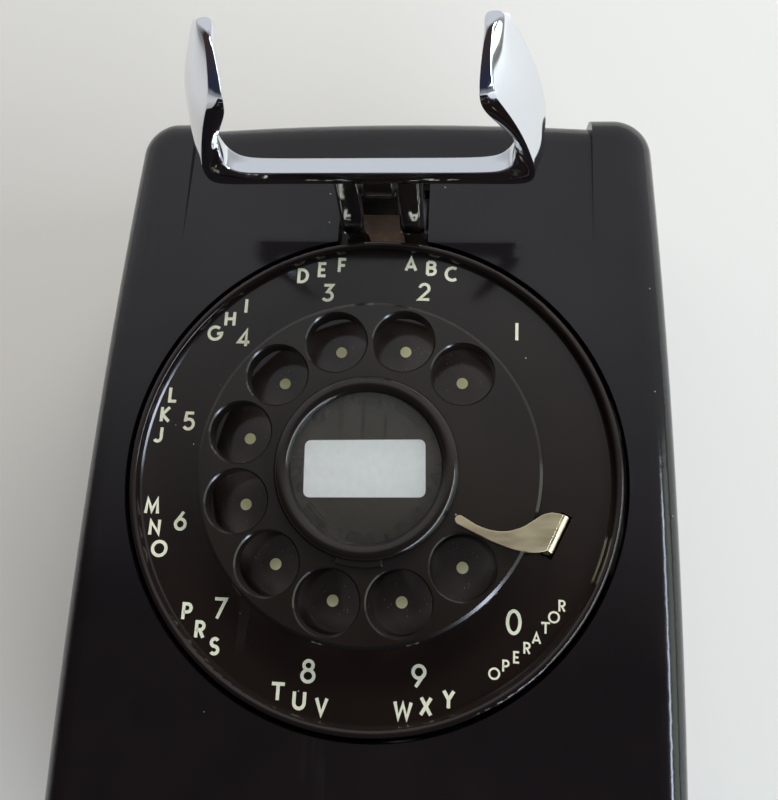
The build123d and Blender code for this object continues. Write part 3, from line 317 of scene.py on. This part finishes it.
# By slot: how it is made, its two colours and its roughness. The rest are the features of
# its grain per metre and, where they aren't the usual, its depth and stretch.
SLOT_LOOKS = {
    "black_plastic": (gloss_plastic, (0.006, 0.005, 0.006), (0.010, 0.008, 0.009), 0.15),
    "plate_plastic": (gloss_plastic, (0.009, 0.006, 0.005), (0.014, 0.009, 0.007), 0.12),
    "wheel_plastic": (gloss_plastic, (0.009, 0.007, 0.006), (0.015, 0.011, 0.008), 0.16),
    "knob_plastic": (matte, (0.03, 0.03, 0.03), (0.05, 0.05, 0.05), 0.5),
    "cream_paint": (matte, (0.96, 0.93, 0.50), (1.0, 0.98, 0.60), 0.5, 900),
    "card_paper": (matte, (0.070, 0.062, 0.048), (0.090, 0.078, 0.060), 0.6, 700, 0.05),
    "grey_rubber": (matte, (0.03, 0.03, 0.03), (0.05, 0.05, 0.05), 0.8, 500, 0.2),
    "coil_tape": (matte, (0.05, 0.13, 0.06), (0.10, 0.20, 0.10), 0.55, 600, 0.3, (3, 1, 1)),
    "network_case": (matte, (0.16, 0.17, 0.18), (0.24, 0.25, 0.26), 0.5, 350),
    "brown_phenolic": (matte, (0.11, 0.05, 0.02), (0.2, 0.1, 0.045), 0.45, 500, 0.15, (1, 4, 4)),
    "nickel_steel": (metal, (0.95, 0.83, 0.54), (0.90, 0.78, 0.49), 0.34, 500, (0.3, 1, 1)),
    "zinc_steel": (metal, (0.60, 0.59, 0.56), (0.50, 0.49, 0.46), 0.38, 260, (1, 1, 0.2)),
    "spring_steel": (metal, (0.34, 0.34, 0.36), (0.22, 0.21, 0.22), 0.32, 400),
    "contact_brass": (metal, (0.74, 0.60, 0.32), (0.5, 0.38, 0.2), 0.28, 420),
    "gear_brass": (metal, (0.72, 0.55, 0.26), (0.48, 0.34, 0.16), 0.3, 300),
    "gong_brass": (metal, (0.68, 0.52, 0.26), (0.5, 0.36, 0.18), 0.22, 180),
    "magnet_iron": (metal, (0.14, 0.14, 0.14), (0.08, 0.07, 0.07), 0.55, 300),
}
materials = {slot: make(slot, *looks) for slot, (make, *looks) in SLOT_LOOKS.items()}
materials["clear_cover"] = clear_plastic()
materials["chrome_casting"] = chrome()

# Painted light: the number plate is paler under the finger wheel, which lifts the shade that the
# wheel casts in the finger holes. The specks in it are dust.
PAINTED_LIGHT_AND_DUST_REACH = 0.0365
plate_space = frame["nodes"]["number_plate"].matrix_world.inverted()
lay_painted_light_and_dust(materials["plate_plastic"], plate_space @ dial_centre, PAINTED_LIGHT_AND_DUST_REACH)

for row in frame["record"]["subparts"]:
    node = frame["nodes"][row["node"]]
    node.data.materials.clear()
    node.data.materials.append(materials[row["material_slot"]])


# ---------------------------------------------------------------- making pieces
def mesh_from(bm, name):
    """A mesh with its faces turned outwards, from a bmesh that is then freed."""
    bmesh.ops.recalc_face_normals(bm, faces=bm.faces)
    mesh = bpy.data.meshes.new(name)
    bm.to_mesh(mesh)
    bm.free()
    return mesh


def make_piece(name, bm, body, slot, material=None):
    """An object from a bmesh, riding on a body, in its slot's material or one of its own."""
    mesh = mesh_from(bm, name)
    mesh.materials.append(material or materials[slot])
    piece = bpy.data.objects.new(name, mesh)
    bpy.context.scene.collection.objects.link(piece)
    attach(piece, body)
    return piece


def join_rings(bm, first, second):
    """Quads between two closed rings of vertices."""
    count = len(first)
    for k in range(count):
        after = (k + 1) % count
        bm.faces.new((first[k], first[after], second[after], second[k]))


def prism(outline, depth, place):
    """A closed solid from an outline, grown along one direction; place maps to the frame."""
    bm = bmesh.new()
    near = [bm.verts.new(place(x, y, 0.0)) for x, y in outline]
    far = [bm.verts.new(place(x, y, depth)) for x, y in outline]
    bm.faces.new(near)
    bm.faces.new(far[::-1])
    join_rings(bm, far, near)
    return bm


def smooth(piece):
    for face in piece.data.polygons:
        face.use_smooth = True


def soften(piece, width, segments):
    """Rounds a piece's edges, with the width in metres, and shades it smooth."""
    smooth(piece)
    bevel = piece.modifiers.new("edges", "BEVEL")
    bevel.width = width
    bevel.segments = segments
    bevel.limit_method = "ANGLE"
    bevel.angle_limit = math.radians(28)
    bevel.harden_normals = True


def arc(cx, cy, rx, ry, start, end):
    """Points along part of an ellipse, angles in degrees."""
    steps = max(3, round(abs(end - start) / 12))
    angles = [math.radians(start + (end - start) * k / steps) for k in range(steps + 1)]
    return [(cx + rx * math.cos(a), cy + ry * math.sin(a)) for a in angles]


# ---------------------------------------------------------------- dial characters
# Each character is a list of pen strokes in a box one unit high, centred on x = 0.
# The pen's own width is added outside these lines.
GLYPHS = {
    "0": [arc(0, 0.5, 0.24, 0.42, 0, 360)],
    "1": [[(0, 0.08), (0, 0.92)]],
    "2": [arc(0, 0.68, 0.24, 0.24, 170, -35) + [(-0.26, 0.08), (0.27, 0.08)]],
    "3": [[(-0.22, 0.92), (0.22, 0.92), (-0.02, 0.56)] + arc(-0.02, 0.32, 0.26, 0.24, 80, -150)],
    "4": [[(0.1, 0.06), (0.1, 0.92), (-0.3, 0.28), (0.28, 0.28)]],
    "5": [[(0.22, 0.92), (-0.16, 0.92), (-0.2, 0.54)] + arc(-0.02, 0.34, 0.26, 0.26, 130, -150)],
    "6": [arc(0, 0.33, 0.25, 0.25, 0, 360), [(0.12, 0.94), (-0.22, 0.42)]],
    "7": [[(-0.26, 0.92), (0.26, 0.92), (-0.1, 0.06)]],
    "8": [arc(0, 0.31, 0.26, 0.24, 0, 360), arc(0, 0.74, 0.2, 0.19, 0, 360)],
    "9": [arc(0, 0.67, 0.25, 0.25, 0, 360), [(-0.12, 0.06), (0.22, 0.58)]],
    "A": [[(-0.32, 0.08), (0, 0.92), (0.32, 0.08)], [(-0.2, 0.34), (0.2, 0.34)]],
    "B": [
        [(-0.24, 0.08), (-0.24, 0.92)],
        [(-0.24, 0.92)] + arc(0.02, 0.73, 0.2, 0.19, 90, -90) + [(-0.24, 0.54)],
        [(-0.24, 0.52)] + arc(0.02, 0.3, 0.24, 0.22, 90, -90) + [(-0.24, 0.08)],
    ],
    "C": [arc(0.08, 0.5, 0.4, 0.42, 52, 308)],
    "D": [[(-0.26, 0.92), (-0.26, 0.08)] + arc(-0.08, 0.5, 0.38, 0.42, -90, 90) + [(-0.26, 0.92)]],
    "E": [[(0.22, 0.92), (-0.2, 0.92), (-0.2, 0.08), (0.22, 0.08)], [(-0.2, 0.5), (0.16, 0.5)]],
    "F": [[(0.22, 0.92), (-0.2, 0.92), (-0.2, 0.04)], [(-0.2, 0.5), (0.16, 0.5)]],
    "G": [arc(0, 0.5, 0.42, 0.42, 50, 360) + [(0.12, 0.46)]],
    "H": [[(-0.27, 0.04), (-0.27, 0.96)], [(0.27, 0.04), (0.27, 0.96)], [(-0.27, 0.5), (0.27, 0.5)]],
    "I": [[(0, 0.04), (0, 0.96)]],
    "J": [[(0.16, 0.96)] + arc(-0.06, 0.3, 0.22, 0.22, 0, -150)],
    "K": [[(-0.22, 0.04), (-0.22, 0.96)], [(0.26, 0.96), (-0.18, 0.48), (0.28, 0.04)]],
    "L": [[(-0.2, 0.96), (-0.2, 0.08), (0.24, 0.08)]],
    "M": [[(-0.38, 0.04), (-0.3, 0.9), (0, 0.22), (0.3, 0.9), (0.38, 0.04)]],
    "N": [[(-0.27, 0.04), (-0.27, 0.86), (0.27, 0.14), (0.27, 0.96)]],
    "O": [arc(0, 0.5, 0.42, 0.42, 0, 360)],
    "P": [[(-0.2, 0.04), (-0.2, 0.92)] + arc(0.02, 0.69, 0.23, 0.23, 90, -90) + [(-0.2, 0.46)]],
    "R": [
        [(-0.2, 0.04), (-0.2, 0.92)] + arc(0.02, 0.7, 0.22, 0.22, 90, -90) + [(-0.2, 0.48)],
        [(0.0, 0.48), (0.24, 0.04)],
    ],
    "S": [arc(0, 0.71, 0.2, 0.21, 30, 270) + arc(0, 0.29, 0.22, 0.21, 90, -145)],
    "T": [[(-0.38, 0.92), (0.38, 0.92)], [(0, 0.92), (0, 0.04)]],
    "U": [[(-0.3, 0.96)] + arc(0, 0.36, 0.3, 0.3, 180, 360) + [(0.3, 0.96)]],
    "V": [[(-0.3, 0.96), (0, 0.1), (0.3, 0.96)]],
    "W": [[(-0.46, 0.96), (-0.24, 0.1), (0, 0.86), (0.24, 0.1), (0.46, 0.96)]],
    "X": [[(-0.28, 0.04), (0.28, 0.96)], [(-0.28, 0.96), (0.28, 0.04)]],
    "Y": [[(-0.28, 0.96), (0, 0.5), (0.28, 0.96)], [(0, 0.5), (0, 0.04)]],
}


INK_HIGH = 0.05             # how far the filled characters stand above the plate
INK_STEP = 0.00005          # each stroke is a hair higher, so crossing ones don't share a face
TOUCHING = 1e-4             # a stroke whose ends are this close is closed
SHARPEST = 0.45             # limits how far a mitred corner reaches


def pen_edges(points, half):
    """Left and right side points of a stroke, mitred at its corners."""
    last = len(points) - 1
    closed = (Vector(points[0]) - Vector(points[-1])).length < TOUCHING
    sides = []
    for k in range(last + 1):
        here = Vector(points[k])
        ways = []
        if k or closed:
            ways.append((here - Vector(points[k - 1 if k else -2])).normalized())
        if k < last or closed:
            ways.append((Vector(points[k + 1 if k < last else 1]) - here).normalized())
        along = sum(ways, Vector((0, 0)))
        along = along.normalized() if along.length > 1e-6 else ways[0]
        across = Vector((-along.y, along.x))
        slant = abs(across.dot(Vector((-ways[0].y, ways[0].x))))
        reach = half / max(slant, SHARPEST)
        sides.append((here + across * reach, here - across * reach))
    return sides


def add_stroke(bm, points, place, height, pen, lift):
    """One pen stroke as a thin raised ribbon on the dial's number plate."""
    right, up = place
    rings = []
    for left_side, right_side in pen_edges(
        [(x * height, (y - 0.5) * height) for x, y in points], pen / 2
    ):
        corners = ((left_side, 0.0), (left_side, lift), (right_side, lift), (right_side, 0.0))
        rings.append(
            [bm.verts.new(on_dial(right + side.x, up + side.y, out)) for side, out in corners]
        )
    for first, second in zip(rings, rings[1:]):
        join_rings(bm, first, second)
    bm.faces.new(rings[0][::-1])
    bm.faces.new(rings[-1])


def polar(radius, degrees):
    angle = math.radians(degrees)
    return radius * math.cos(angle), radius * math.sin(angle)


# Angles are in degrees, counter-clockwise from the right.
DIGIT_FIRST = 46.4          # the digit 1
PLACE_PITCH = 30.0
DIGIT_CIRCLE = 45.0
ONE_CIRCLE = 47.2           # the digit 1 has no letters, and stands further out
DIGIT_HEIGHT = 4.6
DIGIT_HEIGHTS = {"1": 5.0, "0": 5.5, "8": 5.0, "9": 5.0, "7": 4.9}
DIGIT_PEN = 0.72
LETTER_GROUPS = ("ABC", "DEF", "GHI", "JKL", "MNO", "PRS", "TUV", "WXY")
CLOCKWISE_GROUPS = 4        # the first groups read clockwise, the rest counter-clockwise
LETTER_CIRCLE = 51.2
LETTER_PITCH = 5.6
LETTER_HEIGHT = 3.75
LETTER_PEN = 0.74
WORD = "OPERATOR"           # under the digit 0
WORD_CIRCLE = 50.6
WORD_PITCH = 3.3
WORD_NUDGE = -0.4
WORD_HEIGHT = 2.5
WORD_PEN = 0.42
NUDGES = {"4": -0.5, "7": -1.8, "8": -0.8, "GHI": -1.3, "PRS": -1.3, "TUV": -0.8}


def dial_characters():
    """The filled digits and letters round the number plate."""
    placed = []
    for place in range(10):
        digit = str((place + 1) % 10)
        angle = DIGIT_FIRST + PLACE_PITCH * place + NUDGES.get(digit, 0.0)
        radius = ONE_CIRCLE if digit == "1" else DIGIT_CIRCLE
        height = DIGIT_HEIGHTS.get(digit, DIGIT_HEIGHT)
        placed.append((digit, polar(radius, angle), height, DIGIT_PEN))
    for group, letters in enumerate(LETTER_GROUPS):
        middle = DIGIT_FIRST + PLACE_PITCH * (group + 1) + NUDGES.get(letters, 0.0)
        turn = -1 if group < CLOCKWISE_GROUPS else 1
        for k, letter in enumerate(letters):
            angle = middle + turn * (k - 1) * LETTER_PITCH
            placed.append((letter, polar(LETTER_CIRCLE, angle), LETTER_HEIGHT, LETTER_PEN))
    middle = DIGIT_FIRST + PLACE_PITCH * 9 + WORD_NUDGE
    for k, letter in enumerate(WORD):
        angle = middle + (k - (len(WORD) - 1) / 2) * WORD_PITCH
        placed.append((letter, polar(WORD_CIRCLE, angle), WORD_HEIGHT, WORD_PEN))
    bm = bmesh.new()
    lift = INK_HIGH
    for character, place, height, pen in placed:
        for points in GLYPHS[character]:
            lift += INK_STEP
            add_stroke(bm, points, place, height, pen, lift)
    return bm


dial_ink = matte("dial_ink", (0.80, 0.80, 0.58), (0.88, 0.88, 0.68), 0.5, 900, 0.05)
make_piece("dial_characters", dial_characters(), "root", "cream_paint", dial_ink)

# ---------------------------------------------------------------- card label
LABEL_LEFT = -13.5
LABEL_RIGHT = 12.9
LABEL_HIGH = 5.9
LABEL_LOW = -6.6
LABEL_CORNER = 1.4
LABEL_TURN = math.radians(2.2)      # the card sits a little askew
CARD_OUT = 8.8              # front of the card
LABEL_RISE = 0.03           # how far the label stands above it


def card_label():
    """The white window printed on the card, as a thin rounded panel."""
    outline = []
    for cx, cy, start in (
        (LABEL_RIGHT - LABEL_CORNER, LABEL_HIGH - LABEL_CORNER, 0),
        (LABEL_LEFT + LABEL_CORNER, LABEL_HIGH - LABEL_CORNER, 90),
        (LABEL_LEFT + LABEL_CORNER, LABEL_LOW + LABEL_CORNER, 180),
        (LABEL_RIGHT - LABEL_CORNER, LABEL_LOW + LABEL_CORNER, 270),
    ):
        outline += arc(cx, cy, LABEL_CORNER, LABEL_CORNER, start, start + 90)
    turn = Matrix.Rotation(LABEL_TURN, 2)
    outline = [turn @ Vector(corner) for corner in outline]
    return prism(outline, LABEL_RISE, lambda x, y, rise: on_dial(x, y, CARD_OUT + rise))


label_white = matte("label_white", (0.88, 0.90, 0.88), (0.93, 0.95, 0.93), 0.6, 600, 0.03)
make_piece("card_label", card_label(), "dial_wheel", "card_paper", label_white)

# ---------------------------------------------------------------- cradle casting
BAR_TOP = 65.6
BAR_UNDER = 61.9
BAR_REAR = 18.3
BAR_FACE = 23.0


def bar_station(rear, face_under, face_top):
    """A station of the straight bar, from how far right its edges are."""
    return (
        (rear, BAR_TOP, BAR_REAR),
        (rear, BAR_UNDER, BAR_REAR),
        (face_under, BAR_UNDER, BAR_FACE),
        (face_top, BAR_TOP, BAR_FACE),
    )


# Four edges of the casting at each station, from the middle of the bar to the tip of the
# right arm: outer top, outer bottom, inner bottom, inner top, each right, up and out.
CRADLE_STATIONS = (
    bar_station(0, 0, 0),
    bar_station(12, 12, 12),
    bar_station(24, 23.8, 23.4),
    ((31.6, 66.0, 18.3), (32, 61.7, 18.3), (29.2, 61.9, 23.3), (28.2, 65.9, 23.3)),
    ((35.8, 66.8, 19.2), (35.4, 61.5, 19.4), (31.2, 62.4, 25.2), (30.6, 66.7, 25.2)),
    ((37.3, 67.8, 22.8), (36.0, 61.2, 22.8), (31.5, 63.3, 28.3), (31.9, 67.9, 28.3)),
    ((37.6, 68.9, 28.0), (35.2, 61.0, 28.0), (30.7, 64.0, 32.0), (32.2, 69.0, 32.0)),
    ((37.0, 69.9, 34.0), (33.3, 61.6, 34.0), (28.9, 63.2, 36.5), (31.8, 69.8, 37.0)),
    ((35.6, 70.7, 40.5), (30.9, 61.6, 40.5), (26.5, 62.1, 41.5), (30.4, 70.4, 42.5)),
    ((33.2, 71.5, 47.0), (28.2, 61.2, 47.0), (24.2, 61.0, 46.4), (28.4, 71.0, 48.0)),
    ((30.6, 72.3, 52.4), (25.8, 61.2, 51.8), (23.2, 60.4, 50.6), (26.4, 71.6, 53.0)),
    ((29.0, 72.9, 55.8), (25.0, 64.4, 55.6), (23.3, 63.8, 54.6), (24.4, 72.4, 56.4)),
    ((28.0, 73.2, 57.6), (25.1, 68.6, 58.4), (24.0, 68.4, 58.0), (23.6, 72.6, 58.4)),
)
CASTING_SHIFT = -1.5        # the casting sits a little to the left of the dial's centre
ARM_START = 34.0            # the section is fully an arm's from here outwards
# How far each face swells between its edges, in right, up and out. The outer and inner faces
# do so on the arms, the underside mostly on the bar.
OUTER_SWELL = Vector((0.75, 0.0, 0.15))
INNER_SWELL = Vector((-0.0875, 0.0, -0.15))
UNDER_SWELL = Vector((0.0, -0.6, 0.0))
UNDER_LOSS = 0.6            # how much less the underside swells on the arms
EDGE_CREASES = (0.55, 0.3, 0.4, 0.3, 0.75, 0.3, 0.55)    # round a section, from its outer top
RIDGE = 2                   # the edge between the outer face and the underside
RIDGE_CREASE = 0.9
CAP_SIZE = 0.55             # of the last section
CAP_RISE = 0.0008
CASTING_SUBDIVISIONS = 4


def arm_share(station):
    """0 at the middle of the bar, 1 on the arms."""
    return min(1.0, station[0][0] / ARM_START)


def cradle_ring(station, hand):
    """Corners of the casting's section at one station, on the right (1) or left (-1)."""
    outer_top, outer_low, inner_low, inner_top = (Vector(corner) for corner in station)
    share = arm_share(station)
    middle = (outer_top + outer_low) / 2 + OUTER_SWELL * share
    under = (outer_low + inner_low) / 2 + UNDER_SWELL * (1 - UNDER_LOSS * share)
    inner = (inner_low + inner_top) / 2 + INNER_SWELL * share
    ring = (outer_top, middle, outer_low, under, inner_low, inner, inner_top)
    return [on_dial(hand * corner.x + CASTING_SHIFT, corner.y, corner.z) for corner in ring]


def centre_of(ring):
    return sum((vertex.co for vertex in ring), Vector()) / len(ring)


def cradle_casting():
    """The chrome casting: a bar and two leaf-shaped arms that curl inwards."""
    bm = bmesh.new()
    crease = bm.edges.layers.float.new("crease_edge")
    places = [(station, -1) for station in reversed(CRADLE_STATIONS[1:])]
    places += [(station, 1) for station in CRADLE_STATIONS]
    rings = [[bm.verts.new(corner) for corner in cradle_ring(*place)] for place in places]
    for (station, _), first, second in zip(places, rings, rings[1:]):
        join_rings(bm, first, second)
        for k, sharp in enumerate(EDGE_CREASES):
            if k == RIDGE:
                sharp += (RIDGE_CREASE - sharp) * arm_share(station)
            bm.edges.get((first[k], second[k]))[crease] = sharp
    for end, inside in ((rings[0], rings[1]), (rings[-1], rings[-2])):
        centre = centre_of(end)
        rise = (centre - centre_of(inside)).normalized() * CAP_RISE
        cap = [bm.verts.new(centre + (vertex.co - centre) * CAP_SIZE + rise) for vertex in end]
        join_rings(bm, end, cap)
        bm.faces.new(cap)
    return bm


cradle = make_piece("cradle_casting", cradle_casting(), "cradle_arm", "chrome_casting")
smooth(cradle)
rounding = cradle.modifiers.new("rounding", "SUBSURF")
rounding.levels = CASTING_SUBDIVISIONS
rounding.render_levels = CASTING_SUBDIVISIONS
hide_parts("cradle")

# ---------------------------------------------------------------- cradle stem
# Outlines are in out and up.
PIVOT = (-16.0, 66.0)
PIVOT_EYE = 5.0             # radius of the cheeks round the pivot
CHEEK_OUTLINE = (
    [(20.4, 62.3), (20.4, 65.0), (14.0, 66.0), (-6.0, 69.4)]
    + arc(*PIVOT, PIVOT_EYE, PIVOT_EYE, 80, 270)
    + [(-6.0, 60.4), (1.0, 58.1), (16.0, 61.8)]
)
WEB_OUTLINE = [(10.9, 62.0), (10.9, 65.2), (20.0, 65.2), (20.0, 62.2), (13.0, 61.8)]
CHEEK_INNER = 4.1           # from the middle to each face of a cheek
CHEEK_OUTER = 10.1
CHEEK_THICK = CHEEK_OUTER - CHEEK_INNER
WEB_WIDTH = 8.6             # the gap, and a little of each cheek
STEM_ROUND = 0.0013

for number, (outline, left, width) in enumerate((
    (CHEEK_OUTLINE, CHEEK_INNER, CHEEK_THICK),
    (CHEEK_OUTLINE, -CHEEK_OUTER, CHEEK_THICK),
    (WEB_OUTLINE, -WEB_WIDTH / 2, WEB_WIDTH),
), 1):
    form = prism(outline, width, lambda out, up, right, left=left: on_dial(left + right, up, out))
    piece = make_piece(f"cradle_stem_{number}", form, "cradle_arm", "chrome_casting")
    soften(piece, STEM_ROUND, 4)
    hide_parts("cradle")

# ---------------------------------------------------------------- finger stop
STOP_TOP = 10.9             # out, of the blade's face
STOP_SHEET = 1.1
STOP_BEND = Vector((40.75, -12.7))
STOP_TURN = -24.7           # the way that the blade's bent end faces, degrees
STOP_AWAY = Vector((math.cos(math.radians(STOP_TURN)), math.sin(math.radians(STOP_TURN))))
STOP_ALONG = Vector((-STOP_AWAY.y, STOP_AWAY.x))
BEND_RADIUS = 1.35
BEND_PAST = 0.55            # the upright's outer face is this far past STOP_BEND
BEND_EDGE = STOP_BEND + STOP_AWAY * (BEND_PAST - BEND_RADIUS)   # where the bend starts
STOP_HALF = 4.1             # half of the bend's width
STOP_FOOT = -9.0            # out, of the upright's lower end
STOP_TIP = (20.45, -10.6)
TIP_RADIUS = 0.98
BLADE_UPPER = (
    (24.4, -11.65), (27.2, -12.45), (30.2, -12.5), (33.2, -11.6), (35.6, -10.1),
    (37.5, -8.85), (39.4, -8.35),
)
BLADE_LOWER = ((36.0, -16.6), (32.3, -16.3), (28.0, -15.05), (23.9, -13.3))
BLADE_ROUND = 0.00022
BEND_ROUND = 0.00018
CURVE_STEPS = 8             # between two points of a curve


def curve_through(points):
    """A smooth curve through a few points, without the last point."""
    points = [Vector(point) for point in points]
    points = [points[0], *points, points[-1]]
    line = []
    for before, start, end, after in zip(points, points[1:], points[2:], points[3:]):
        for step in range(CURVE_STEPS):
            t = step / CURVE_STEPS
            line.append(
                0.5 * (2 * start + (end - before) * t
                       + (2 * before - 5 * start + 4 * end - after) * t * t
                       + (3 * start - before - 3 * end + after) * t ** 3)
            )
    return line


def stop_blade():
    """The curved finger that lies over the wheel."""
    high, low = BEND_EDGE + STOP_ALONG * STOP_HALF, BEND_EDGE - STOP_ALONG * STOP_HALF
    tip = arc(*STOP_TIP, TIP_RADIUS, TIP_RADIUS, STOP_TURN + 270, STOP_TURN + 90)
    outline = curve_through([tip[-1], *BLADE_UPPER, high]) + [high]
    outline += curve_through([low, *BLADE_LOWER, tip[0]]) + tip[:-1]
    return prism(outline, STOP_SHEET, lambda x, y, depth: on_dial(x, y, STOP_TOP - depth))


def stop_bend():
    """The rounded bend at the blade's end and the upright that goes through the plate."""
    outer, inner = (
        arc(0, STOP_TOP - BEND_RADIUS, radius, radius, 90, 0) + [(radius, STOP_FOOT)]
        for radius in (BEND_RADIUS, BEND_RADIUS - STOP_SHEET)
    )
    return prism(
        outer + inner[::-1],
        2 * STOP_HALF,
        lambda away, out, along: on_dial(
            *(BEND_EDGE + STOP_AWAY * away + STOP_ALONG * (along - STOP_HALF)), out
        ),
    )


for name, form, width in (
    ("finger_stop_blade", stop_blade(), BLADE_ROUND),
    ("finger_stop_bend", stop_bend(), BEND_ROUND),
):
    piece = make_piece(name, form, "root", "nickel_steel")
    soften(piece, width, 2)
    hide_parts("finger_stop")

# ---------------------------------------------------------------- retaining ring tab
TAB_IN = 19.4
TAB_OUT = 21.5
TAB_BACK = 8.3
TAB_HIGH = 1.3
TAB_START = -105.0          # degrees, counter-clockwise from the right
TAB_END = -77.0
TAB_ROUND = 0.0004


def ring_tab():
    """The lip under the retaining ring that a pin is pushed against to free the card."""
    outline = arc(0, 0, TAB_OUT, TAB_OUT, TAB_START, TAB_END)
    outline += arc(0, 0, TAB_IN, TAB_IN, TAB_END, TAB_START)
    return prism(outline, TAB_HIGH, lambda x, y, rise: on_dial(x, y, TAB_BACK + rise))


tab = make_piece("ring_tab", ring_tab(), "dial_wheel", "wheel_plastic")
soften(tab, TAB_ROUND, 3)

# ---------------------------------------------------------------- floor, world and lights
FLOOR_REACH = 40.0          # so far that no view shows its edge
FLOOR_BACK = 0.0006         # just behind the telephone's back
FLOOR_COLOUR = (0.82, 0.80, 0.75)
ROOM_LIGHT = (0.80, 0.83, 0.86)
ROOM_FRONT = (0.055, 0.036, 0.032)
ROOM_BELOW = (0.030, 0.034, 0.060)
ROOM_SEEN = (0.80, 0.81, 0.80)
LIGHTS = (      # name, place, width, height, watts, colour, whether it shows in gloss
    ("window_right", (0.98, -0.72, -0.55), 0.1, 1.9, 14, (0.74, 0.84, 1.0), True),
    ("garden_right", (1.15, -0.36, -0.45), 0.45, 1.7, 5, (0.66, 0.8, 0.66), True),
    ("ceiling", (0.45, -0.6, 1.4), 1.6, 0.8, 30, (1.0, 0.99, 0.97), False),
    ("back_fill", (-0.6, 1.0, 0.3), 0.8, 0.8, 6, (1.0, 1.0, 1.0), True),
)


def floor():
    """The pale surface that the telephone's back lies on, open behind the base plate."""
    low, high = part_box("base_plate")
    edges = (
        (-FLOOR_REACH, FLOOR_REACH, -FLOOR_REACH, FLOOR_REACH),
        (low.x, high.x, low.z, high.z),
    )
    bm = bmesh.new()
    rings = []
    for left, right, bottom, top in edges:
        corners = ((left, bottom), (right, bottom), (right, top), (left, top))
        rings.append([bm.verts.new((x, FLOOR_BACK, z)) for x, z in corners])
    join_rings(bm, *rings)
    mesh = mesh_from(bm, "floor")
    if mesh.polygons[0].normal.y > 0:
        mesh.flip_normals()
    surface = bpy.data.objects.new("floor", mesh)
    bpy.context.scene.collection.objects.link(surface)
    material, tree, shader = new_material("floor")
    set_inputs(tree, shader, Base_Color=FLOOR_COLOUR, Roughness=0.8)
    behind = tree.nodes.new("ShaderNodeNewGeometry").outputs["Backfacing"]
    clear = tree.nodes.new("ShaderNodeBsdfTransparent")
    output = next(node for node in tree.nodes if node.type == "OUTPUT_MATERIAL")
    set_inputs(tree, output, Surface=mix_shaders(tree, behind, shader, clear))
    mesh.materials.append(material)


def world():
    """A room that lights the telephone: bright above and behind, dim in front, navy below.
    Where the camera sees past the floor, it is plain and pale."""
    room = bpy.data.worlds.new("room")
    bpy.context.scene.world = room
    room.use_nodes = True
    tree = room.node_tree
    tree.nodes.clear()
    coords = tree.nodes.new("ShaderNodeTexCoord")
    parts = add_node(tree, "ShaderNodeSeparateXYZ", Vector=coords.outputs["Generated"])
    above = mask(tree, parts.outputs["Z"], start=0.05, end=0.45)
    behind = mask(tree, parts.outputs["Y"], start=-0.2, end=0.3)
    below = ramp(tree, parts.outputs["Z"], 1.0, 0.0, start=-0.75, end=-0.25)
    lit = calculate(tree, "MAXIMUM", above, behind)
    dark = blend_colours(tree, below, ROOM_FRONT, ROOM_BELOW)
    colour = blend_colours(tree, lit, dark, ROOM_LIGHT)
    around = add_node(tree, "ShaderNodeBackground", Color=colour, Strength=0.8)
    plain = add_node(tree, "ShaderNodeBackground", Color=ROOM_SEEN, Strength=0.95)
    from_camera = tree.nodes.new("ShaderNodeLightPath").outputs["Is Camera Ray"]
    output = tree.nodes.new("ShaderNodeOutputWorld")
    set_inputs(tree, output, Surface=mix_shaders(tree, from_camera, around, plain))


def area_light(name, place, width, height, watts, colour, in_gloss):
    """A rectangular light that points at the origin."""
    data = bpy.data.lights.new(name, "AREA")
    data.shape = "RECTANGLE"
    data.size = width
    data.size_y = height
    data.energy = watts
    data.color = colour
    light = bpy.data.objects.new(name, data)
    bpy.context.scene.collection.objects.link(light)
    light.location = place
    light.rotation_euler = (-Vector(place)).to_track_quat("-Z", "Y").to_euler()
    light.visible_glossy = in_gloss


floor()
world()
for light_settings in LIGHTS:
    area_light(*light_settings)
bpy.context.scene.view_settings.view_transform = "Standard"
